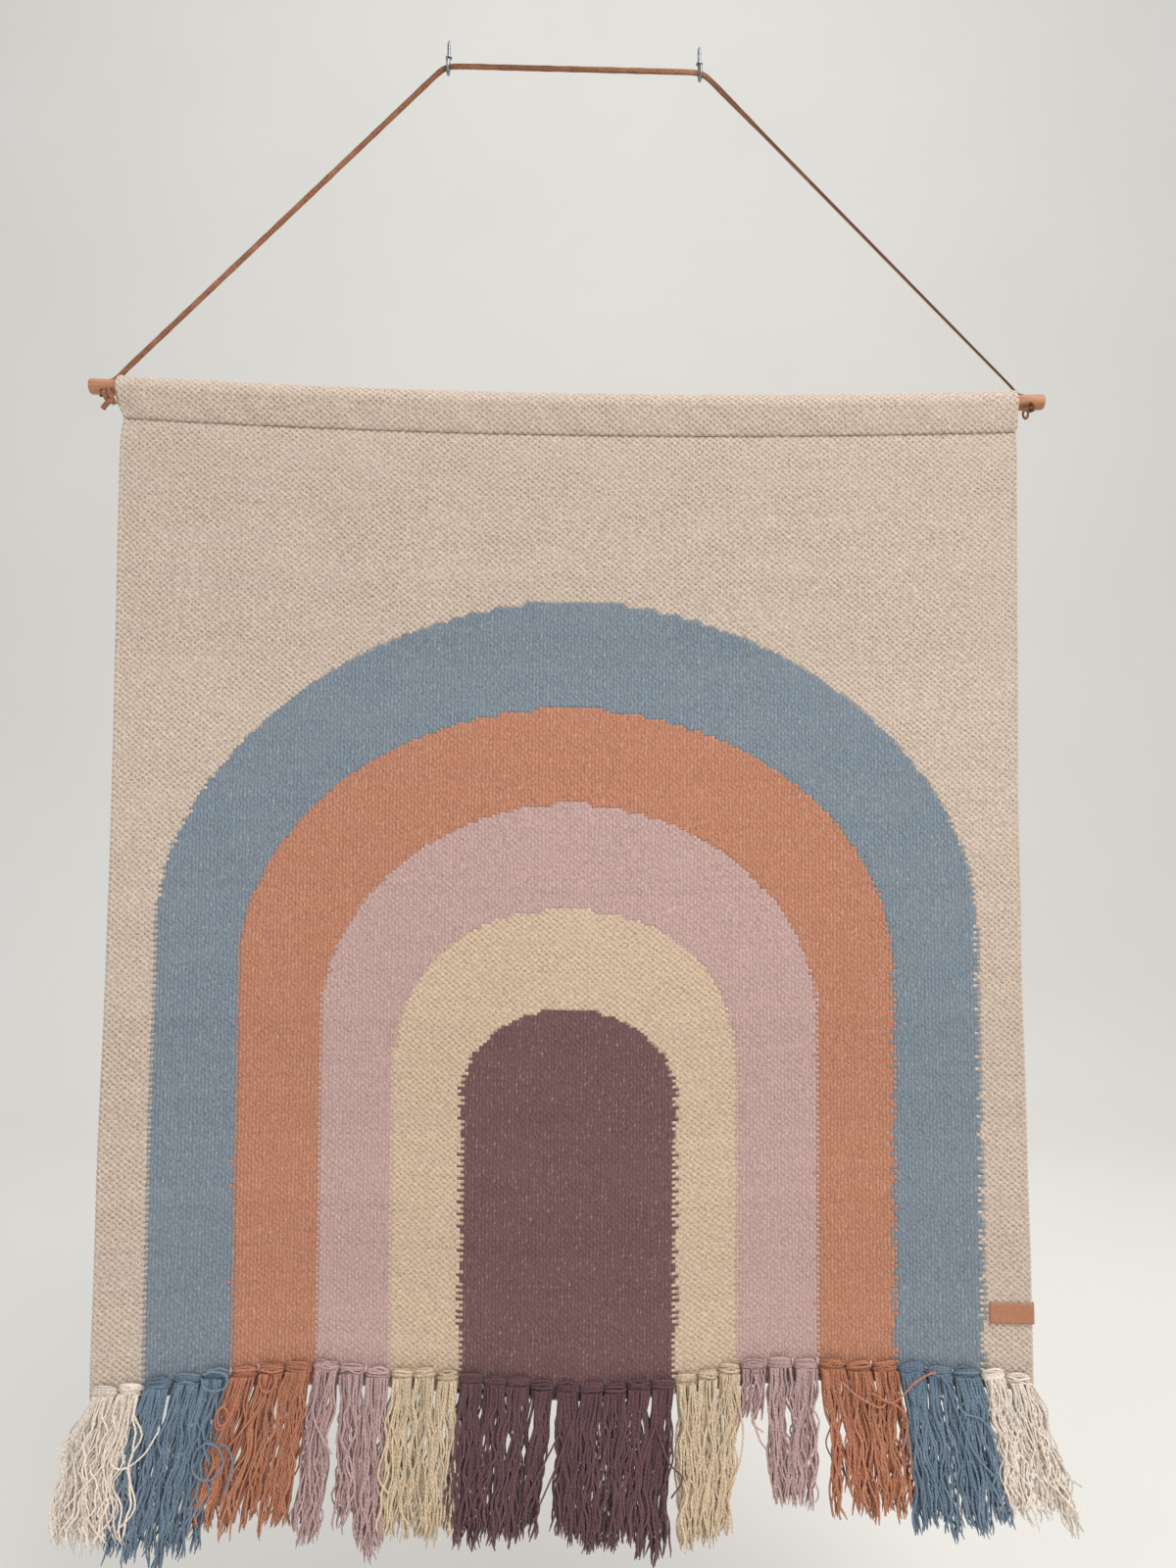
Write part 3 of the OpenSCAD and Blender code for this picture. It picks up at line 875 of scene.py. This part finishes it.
def lace():
    right = HALF_ROUTE + [0, HANG_Y, 0]
    left = (right * [-1, 1, 1])[:0:-1]
    line = spline(np.concatenate([left, right]), 420)
    ahead = unit(np.gradient(line, axis=0))
    wide = unit(np.cross([0, 1, 0], ahead))
    thin = np.cross(ahead, wide)
    x = line[:, 0]
    # the flat lace rolls a little along its way: face on at the left, edge on at the right
    roll = np.radians(np.interp(
        x, np.array([-359, -345, -130, -99, -60, 0, 40, 92, 104, 150, 341, 353, 358]) * MM,
        [0, 28, 34, 60, 62, 40, 8, 12, 40, 96, 112, 112, 30],
    ))[:, None]
    across = wide * np.cos(roll) + thin * np.sin(roll)
    deep = -wide * np.sin(roll) + thin * np.cos(roll)
    half_w, half_t, corner = 2.0 * MM, 0.8 * MM, 0.25 * MM
    edge = half_t - corner
    half = [
        (half_w, edge), (half_w - corner, half_t), (0, half_t * 1.05),
        (-half_w + corner, half_t), (-half_w, edge),
    ]
    outline = half + [(-p, -q) for p, q in half]
    sides = len(outline)
    wear = 1 + 0.05 * np.sin(np.arange(len(line)) * 0.7) * np.sin(np.arange(len(line)) * 0.13)
    verts = np.stack([line + across * p * wear[:, None] + deep * q for p, q in outline], 1)
    quads, caps = ring_faces(len(line), sides)
    me = make_mesh("leather_lace_strip", verts.reshape(-1, 3), [quads], caps)
    ob = piece(
        "leather_lace_strip", me, [lace_leather, edge_shade_leather], "hanger", ["leather_lace"],
    )
    # the thin edges, their bevels and the ends take the darker leather, a painted shade
    is_shaded_edge = np.isin(np.tile(np.arange(sides), len(line) - 1), (3, 4, 5, 8, 9, 0))
    me.polygons.foreach_set("material_index", [*is_shaded_edge.astype(int).tolist(), 1, 1])
    return ob, line


def strip(points, half_w, half_t, count, hint):
    """Flat leather strip with eased corners, eight sides round."""
    line = spline(points, count)
    across, deep = across_line(line, hint)
    a = math.tau * (np.arange(8) + 0.5) / 8
    c, s = (np.sign(f(a)) * np.abs(f(a)) ** 0.3 for f in (np.cos, np.sin))
    verts = np.stack([line + across * half_w * p + deep * half_t * q for p, q in zip(c, s)], 1)
    return verts.reshape(-1, 3), *ring_faces(count, 8)


def lace_knot(node, side, lines, wide):
    """The lace knotted on itself where it leaves the front of its hole. Each line comes with
    the way its flat side lies."""
    origin = np.array([side * LACE_X, HANG_Y - 5.2 * MM, ROD_Z - 7.5 * MM])
    verts, quads, caps = [], [], []
    count = 0
    for across, line in lines:
        v, q, c = strip(origin + np.array(line) * MM, wide * MM, 0.85 * MM, 60, across)
        verts.append(v)
        quads.append(q + count)
        caps += [k + count for k in c]
        count += len(v)
    quads = np.concatenate(quads)
    me = make_mesh(node + "_tied", np.concatenate(verts), [quads], caps)
    looks = [lace_leather, edge_shade_leather]
    ob = piece(node + "_tied", me, looks, "hanger", [node])
    # the two thin edges of each strip and the ends take the darker leather, a painted shade
    is_shaded_edge = np.tile([0, 0, 0, 1, 0, 0, 0, 1], len(quads) // 8)
    me.polygons.foreach_set("material_index", [*is_shaded_edge.tolist(), *[1] * len(caps)])
    return ob


# How a strip's flat side lies where it runs down to the right, down to the left, or in a ring
DOWN_RIGHT = (0.75, 0.15, 0.6)
DOWN_LEFT = (0.7, 0.1, -0.7)
ROUND = (0.25, 0.7, 0.5)

lace_piece, lace_line = lace()
knots = [
    lace_knot("lace_knot_left", -1, [
        (DOWN_RIGHT, [(0.6, 2.4, 3.2), (1.0, -1.4, 2.4), (2.4, -3.0, -0.6), (4.4, -3.2, -4.2),
                      (6.4, -2.6, -7.6)]),
        (DOWN_RIGHT, [(4.6, 1.8, 4.0), (5.2, -1.6, 3.0), (6.8, -4.0, -0.4), (8.8, -3.8, -4.4),
                      (10.4, -1.8, -8.4)]),
        (DOWN_LEFT, [(9.4, -2.2, -4.6), (7.6, -4.4, -6.6), (5.2, -4.8, -8.8), (2.8, -4.2, -11.4),
                     (1.8, -3.8, -12.6)]),
    ], 1.85),
    lace_knot("lace_knot_right", 1, [
        (ROUND, [(-1.4, 2, 2), (-3.6, -1.4, 0.6), (-5.6, -2.8, -0.8), (-7.6, -3, -2.8),
                 (-8.0, -2.8, -5.6), (-6.2, -2.6, -7.9), (-4.3, -2.6, -6), (-4.2, -2.8, -3.2),
                 (-5.6, -3.8, -0.6)]),
        (ROUND, [(-5.2, -2.4, -0.8), (-4.6, -3.6, 2.6), (-2.8, -4.2, 4.2), (-0.6, -4.0, 3.2),
                 (0.2, -3.0, 0.6), (0.0, -0.6, -1.2)]),
    ], 1.6),
]
hook_steel = steel()
for name in ("hook_left", "hook_right"):
    node = frame["nodes"][name]
    node.data.materials.clear()
    node.data.materials.append(hook_steel)

# ---- fringe

YARN_R = 0.78 * MM
YARN_RINGS = 24
YARN_SIDES = 5
# Band of the fringe: sideways lean of its tips and their spread, how far the tips hang below
# the knots' straight line, and where the band's middle lies across the cloth
BANDS = {
    "cream_left": (-13, 1.3, 114, -331), "blue_left": (-24, 1.0, 126, -281),
    "terracotta_left": (-24, 1.15, 113, -220), "pink_left": (-8, 1.0, 122, -160),
    "yellow_left": (-5, 1.05, 113, -106), "plum": (-8, 1.0, 116, 0),
    "yellow_right": (-5, 0.62, 120, 106), "pink_right": (-2, 0.9, 102, 160),
    "terracotta_right": (9, 1.05, 107, 220), "blue_right": (17, 1.1, 115, 281),
    "cream_right": (22, 1.3, 105, 331),
}
# Tassels that part from their neighbours: extra lean, spread, length, share of the yarns
APART = {
    "pink_left_1": (-9, 0.8, 4, 1.0), "pink_left_2": (8, 0.9, -12, 0.75),
    "pink_left_3": (4, 0.9, 4, 1.0), "plum_4": (-7, 0.9, -6, 1.0),
    "plum_5": (8, 0.9, -10, 1.0), "pink_right_1": (-4, 1.0, -62, 0.5),
    "pink_right_2": (6, 0.8, 0, 0.9), "cream_left_1": (-4, 1.1, -4, 1.0),
    "cream_right_2": (5, 1.0, 2, 1.0), "terracotta_right_1": (2, 0.9, -4, 0.8),
}
# How far the outer cream tassels swell sideways below their knots
BULGE = {-1: 15 * MM, 1: 3 * MM}
# Strands of a knot, its height and how far it stands out, and locks that its yarns gather into
BARS = 7
KNOT_TALL = 7.8 * MM
KNOT_DEEP = 5.4 * MM
LOCKS = 4
# Spacing of the yarns across a tassel, and how many lie behind one another
YARN_PITCH = 1.15 * MM
YARN_LAYERS = 3.7


def cloth_y_at(x):
    return HANG_Y + float(drape(np.array(x), np.array(KNOT_V)))


def tassel(node, band):
    r = np.random.default_rng(sum(ord(c) * (i + 3) for i, c in enumerate(node)))
    lo, hi = corners(node)
    colour, short = band.split("_")[0], node[len("tassel_"):]
    lean, spread, length, middle = BANDS[band]
    extra, extra_spread, extra_len, share = APART.get(short, (0, 1, 0, 1.0))
    lean, spread = (lean + extra) * MM, spread * extra_spread
    length = (length + extra_len) * MM
    wide = (hi[0] - lo[0]) * r.uniform(0.97, 1.05)
    mid = (hi[0] + lo[0]) / 2 + r.uniform(-0.5, 0.5) * MM
    rise = float(eased(mid, KNOT_X, KNOT_RISE, 0.012))
    knot_z = TOP_Z - KNOT_V + rise + r.uniform(-0.8, 0.8) * MM
    face_y = cloth_y_at(mid) - HALF_T
    middle = middle * MM
    thin = colour == "cream"
    count = int(wide / YARN_PITCH * YARN_LAYERS * share)
    radius = YARN_R * (0.86 if thin else 1.0)

    def each(low, high):
        return r.uniform(low, high, (count, 1))

    # hanging yarns, in loose layers behind one another, that gather into a few locks
    t = np.linspace(0, 1, YARN_RINGS)[None]
    start = r.uniform(-0.5, 0.5, count)
    layer = r.uniform(0, 1, count)
    lock = np.clip(((start + 0.5) * LOCKS + r.normal(0, 0.35, count)).astype(int), 0, LOCKS - 1)
    lock_at = (np.arange(LOCKS) + 0.5) / LOCKS - 0.5 + r.normal(0, 0.06, LOCKS)
    lock_len = r.normal(0, 0.05, LOCKS)
    x0 = mid + start * wide * 0.88
    drawn = 0.5 * start + 0.5 * lock_at[lock]
    tip = mid + lean + (mid - middle) * (spread - 1) + drawn * wide * spread * 1.25
    tip = tip + r.normal(0, 1.7 * MM, count)
    pull = each(0.7, 1.3)
    x = x0[:, None] + (tip - x0)[:, None] * t**pull
    # short waves of each yarn's own, then long ones that a lock's yarns nearly share
    for sizes, pitches, own in (
        ((0.3, 1.3), (0.018, 0.035), 1.0), ((0.9, 2.9), (0.045, 0.075), 0.35),
    ):
        size = each(*sizes) * MM
        pitch = each(*pitches)
        phase = each(0, math.tau) * own
        phase = phase + r.uniform(0, math.tau, LOCKS)[lock][:, None]
        wave = np.sin(math.tau * length * t / pitch + phase) * smooth(t * 4)
        x = x + size * wave * (1.5 if thin else 1)
    lock_sway = r.uniform(-2.2, 2.2, LOCKS) * MM
    x = x + lock_sway[lock][:, None] * np.sin(math.pi * t) ** 2
    if thin:
        side = -1 if band.endswith("left") else 1
        x = x + side * BULGE[side] * np.sin(math.pi * t) * each(0, 1) ** 1.5
    front = face_y - 1.4 * MM - radius - layer * 5.0 * MM
    settle = face_y - 0.5 * MM - layer * 7.5 * MM + r.normal(0, 0.8 * MM, count)
    y = front[:, None] + (settle - front)[:, None] * smooth(t * 1.2 - 0.2)
    y = y + each(0.2, 0.9) * MM * np.sin(
        math.tau * length * t / each(0.03, 0.07) + each(0, 6)
    ) * smooth(t * 3)
    ragged = np.abs(r.normal(0, 0.07, count)) + 0.10 * np.abs(start - lock_at[lock])
    reach = length * (1.02 - ragged + lock_len[lock])
    z = knot_z - 1.5 * MM - (reach[:, None] - 1.5 * MM) * t
    if thin:
        curl = (each(0, 1) > 0.55) * each(2, 8) * MM
        z = z + curl * np.clip(t * 5 - 4, 0, 1) ** 2
        x = x + curl * r.choice([-1, 1], (count, 1)) * np.clip(t * 5 - 4, 0, 1) * 0.8
    taper = np.clip((1.02 - t) * 14, 0.35, 1)
    radii = radius * each(0.85, 1.15) * taper
    # yarns lighter at the front and darker further back: painted shade on the back layers, with a
    # random tone of each yarn's own
    tones = np.clip(0.05 + 0.7 * layer + r.uniform(-0.2, 0.3, count), 0, 1)
    radii = radii * (0.85 + 0.35 * layer[:, None])
    parts = [tube_set(np.stack([x, y, z], -1), radii, YARN_SIDES, tones)]

    # the knot: strands lying side by side across the front, turning in at both ends
    s = np.linspace(-1, 1, 17)[None]
    level = (np.arange(BARS) / (BARS - 1) - 0.5)[:, None]
    half = wide * 0.5 * (1.03 - 0.07 * np.abs(level) * 2) + r.normal(0, 0.4 * MM, (BARS, 1))
    slant = r.normal(0, 0.5) * MM
    bx = mid + s * half
    bz = knot_z + level * KNOT_TALL * (1 - 0.4 * np.abs(s) ** 3) + 0.5 * MM * (1 - s**2) + slant * s
    bz = bz - (np.abs(s) ** 6) * 0.8 * MM
    bz = bz + r.normal(0, 0.4, (BARS, 1)) * MM * np.sin(s * 4 + r.uniform(0, 6, (BARS, 1)))
    belly = KNOT_DEEP * (1 - 0.35 * (2 * level) ** 2) + r.normal(0, 0.45 * MM, (BARS, 1))
    by = face_y - belly * (1 - np.abs(s) ** 4 * 0.85) + 0.3 * MM
    bars = np.stack(np.broadcast_arrays(bx, by, bz), -1)
    bar_r = r.uniform(0.8, 1.05, (BARS, 1)) * MM * (1 - 0.3 * np.abs(s) ** 6)
    bar_tones = r.uniform(0.1, 0.9, BARS)
    parts.append(tube_set(bars, bar_r, 7, bar_tones, side_hint=(0, 0.3, 1)))

    for points in STRAYS.get(short, ()):
        line = spline(np.array(points) * MM, 60) + [mid, 0, knot_z]
        line[:, 1] += face_y
        radii = np.full((1, 60), radius * 0.95)
        parts.append(tube_set(line[None], radii, YARN_SIDES, np.array([0.9])))
    verts, faces, uv, weave = joined(parts)
    me = make_mesh(node + "_yarns", verts, faces, uvs=uv, weave=weave)
    ob = piece(node + "_yarns", me, YARN_WOOL[colour], None, [node])
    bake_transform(ob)
    return ob


# Single yarns that have come out of their tassels: x from the tassel's middle, y from the
# cloth's face, z from its knot
STRAYS = {
    "cream_left_2": [
        [(2, -8, -4), (-4, -9, -30), (-10, -10, -48), (0, -11, -52),
         (14, -11.5, -42), (24, -12, -26)],
        [(-2, -8, -4), (-6, -9, -26), (-16, -10, -50), (-30, -11, -66), (-42, -11, -80)],
    ],
    "blue_left_3": [
        [(-9, -9, 1), (-7, -10, -5), (0, -10.5, -8), (8, -10, -6), (10, -9, 0), (6, -8.5, 4),
         (-2, -8.5, 5), (-8, -8.5, 3)],
        [(-3, -9, -44), (-12, -10, -52), (-14, -10, -66), (-2, -11, -72), (8, -11, -60),
         (4, -11, -48), (-6, -11, -46), (-2, -10, -60)],
        [(4, -9, -46), (12, -10, -50), (15, -10, -64), (9, -10, -82)],
    ],
    "terracotta_left_1": [
        [(-2, -8, -4), (-5, -10, -18), (-12, -11, -34), (-17, -11, -36), (-18, -11, -26),
         (-13, -11, -20), (-9, -11, -26), (-13, -11, -38), (-20, -10, -52)],
        [(0, -8, -4), (-3, -11, -16), (-9, -12, -30), (-15, -12, -33),
         (-16, -12, -24), (-11, -12, -18)],
    ],
    "terracotta_left_2": [
        [(-7, -8, -3), (-6, -9, -10), (-1, -9.5, -13), (4, -9, -9), (5, -8, -3)],
        [(2, -9, -4), (-6, -10, -22), (-22, -11, -44), (-34, -11, -56)],
    ],
    "pink_left_1": [
        [(-4, -8, -4), (-8, -9, -30), (-2, -10, -46), (6, -10, -60)],
        [(4, -8, -4), (-6, -9, -38), (-10, -10, -60), (-9, -10, -90)],
    ],
    "plum_5": [
        [(-6, -8, -30), (-20, -10, -56), (-30, -10, -76)],
        [(4, -8, -20), (-8, -10, -52), (-22, -10, -84)],
    ],
    "plum_9": [[(-6, -8, -26), (4, -10, -52), (14, -10, -64), (6, -10, -78)]],
    "yellow_left_1": [[(-2, -8, -10), (-10, -9, -46), (-16, -9, -70), (-8, -9, -84)]],
    "yellow_right_3": [[(2, -8, -8), (9, -9, -40), (6, -9, -66), (-2, -9, -84)]],
    "terracotta_right_3": [
        [(2, -8, -20), (-6, -10, -26), (-22, -10, -18), (-34, -9, -8)],
        [(-12, -9, -16), (4, -10.5, -22), (20, -11, -8), (30, -11, -2), (36, -11, 0)],
        [(-8, -9, -20), (6, -11, -24), (14, -11, -34), (12, -11, -52), (8, -10, -60)],
    ],
    "blue_right_2": [
        [(0, -8.5, 0), (8, -9.5, -12), (16, -10, -26), (28, -11, -30),
         (36, -11, -40), (40, -11, -56)],
        [(4, -8.5, -6), (14, -10, -34), (24, -10.5, -56), (38, -11, -72)],
    ],
    "pink_right_1": [
        [(0, -8, -4), (4, -9, -22), (-2, -9, -38), (6, -9, -46)],
        [(2, -8, -4), (-3, -9, -26), (3, -9, -50), (8, -9, -58)],
    ],
    "cream_right_2": [
        [(4, -8, -4), (12, -9, -34), (22, -9, -70), (38, -9, -92), (46, -9, -90)],
    ],
}

for body in frame["bodies"]:
    if not body.startswith("fringe_"):
        continue
    band = body[len("fringe_"):]
    for node in sorted(n for n in frame["nodes"] if n.startswith("tassel_" + band + "_")):
        tassel(node, band)

# ---- room, light, camera


def sweep():
    """Pale floor that curves up far behind the hanging into a plain backdrop."""
    wide, front, back, floor_z, top, bend = 5.0, -4.0, 3.2, -1.32, 3.4, 1.4
    line = [(front, floor_z)]
    for a in np.linspace(0, 90, 16):
        r = math.radians(a)
        line.append((back - bend + bend * math.sin(r), floor_z + bend * (1 - math.cos(r))))
    line.append((back, top))
    line = np.array(line)
    verts = [[s * wide, y, z] for y, z in line for s in (-1, 1)]
    quads = [[2 * i, 2 * i + 1, 2 * i + 3, 2 * i + 2] for i in range(len(line) - 1)]
    m = Nodes("pale_plaster", Roughness=0.9, Specular_IOR_Level=0.1)
    cloud = m.noise(1.5, 3)
    mat = m.finish(m.mix(m.spread(cloud, 0.3, 0.7, 0, 1), linear("#efede6"), linear("#f2f0ea")))
    me = make_mesh("studio_sweep", verts, [quads])
    me.materials.append(mat)
    ob = bpy.data.objects.new("studio_sweep", me)
    bpy.context.scene.collection.objects.link(ob)


def aimed(ob, target):
    ob.rotation_mode = "QUATERNION"
    ob.rotation_quaternion = (Vector(target) - ob.location).to_track_quat("-Z", "Y")


def lamp(name, place, target, size, power, colour):
    data = bpy.data.lights.new(name, "AREA")
    data.shape, data.size, data.energy, data.color = "SQUARE", size, power, colour
    ob = bpy.data.objects.new(name, data)
    ob.location = place
    bpy.context.scene.collection.objects.link(ob)
    aimed(ob, target)


sweep()
lamp("window", (1.0, -1.5, 0.95), (0, 0, -0.45), 1.5, 32.5, (1.0, 0.99, 0.97))
lamp("room_fill", (-1.9, -1.9, -0.2), (0, 0, -0.7), 2.2, 6, (0.93, 0.96, 1.0))
lamp("back_fill", (0.7, 1.4, 0.8), (0, 0, -0.65), 1.4, 6, (1.0, 1.0, 1.0))
lamp("backdrop", (0.3, 0.3, 2.9), (0, 3.2, -0.2), 4.0, 44, (1.0, 0.985, 0.96))

world = bpy.data.worlds.new("pale_room")
world.use_nodes = True
background = world.node_tree.nodes["Background"]
background.inputs["Color"].default_value = (0.93, 0.95, 1.0, 1)
background.inputs["Strength"].default_value = 0.5
bpy.context.scene.world = world
bpy.context.scene.view_settings.view_transform = "Standard"

EYE = (-0.0136, -0.8915, -0.6084)
YAW, PITCH, ROLL = (math.radians(a) for a in (1.75, 2.31, 0.30))
LENS = 26.57


def camera():
    ahead = np.array([
        math.sin(YAW) * math.cos(PITCH), math.cos(YAW) * math.cos(PITCH), math.sin(PITCH)
    ])
    right = np.array([math.cos(YAW), -math.sin(YAW), 0])
    up = np.cross(right, ahead)
    side = right * math.cos(ROLL) + up * math.sin(ROLL)
    top = -right * math.sin(ROLL) + up * math.cos(ROLL)
    data = bpy.data.cameras.new("viewer")
    data.lens, data.sensor_width, data.sensor_fit = LENS, 36, "AUTO"
    data.clip_start, data.clip_end = 0.01, 30
    ob = bpy.data.objects.new("viewer", data)
    turn = Matrix([side, top, -ahead]).transposed().to_4x4()
    ob.matrix_world = Matrix.Translation(EYE) @ turn
    bpy.context.scene.collection.objects.link(ob)
    bpy.context.scene.camera = ob


camera()
